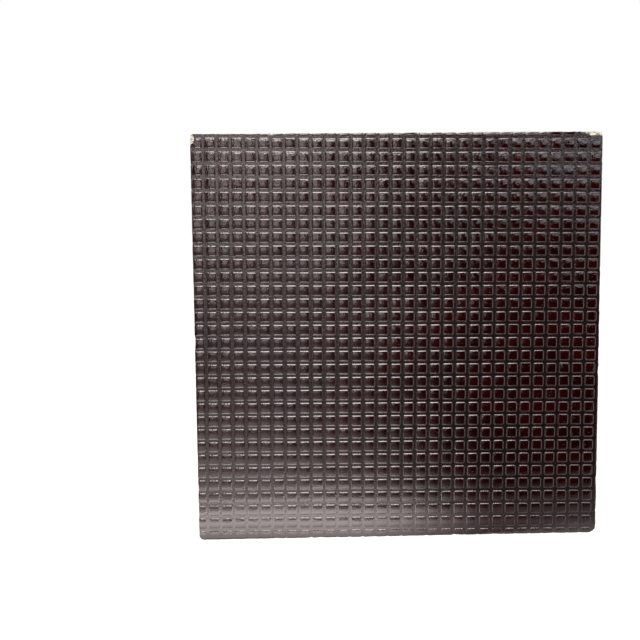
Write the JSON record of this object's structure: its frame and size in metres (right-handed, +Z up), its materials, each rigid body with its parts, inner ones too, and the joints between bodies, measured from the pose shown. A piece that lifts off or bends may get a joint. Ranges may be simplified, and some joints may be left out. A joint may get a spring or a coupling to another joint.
{
  "type": "film faced plywood board",
  "caption": "Square board of cross-laminated wood veneers, with a smooth dark film on its back and a dark anti-slip film on its front, pressed with a wire mesh pattern.",
  "frame": {"origin": "middle of the lower sawn edge that the board stands on", "axes": "+X along the board's width, +Y through its thickness from the patterned front to the smooth back, +Z up its height"},
  "size_m": [0.1, 0.012, 0.1],
  "materials": {
    "mesh_film": "dark red-brown phenolic film, glossy on the squares and satin in the grooves",
    "smooth_film": "dark red-brown phenolic film, smooth and semi-gloss",
    "long_veneer": "raw sawn veneer, end grain at the side edges",
    "cross_veneer": "raw sawn veneer, long grain at the side edges"
  },
  "bodies": {
    "root": {"front_film": "mesh_film", "front_face_veneer": "long_veneer", "front_crossband": "cross_veneer", "front_long_core": "long_veneer", "centre_crossband": "cross_veneer", "back_long_core": "long_veneer", "back_crossband": "cross_veneer", "back_face_veneer": "long_veneer", "back_film": "smooth_film"}
  },
  "joints": []
}
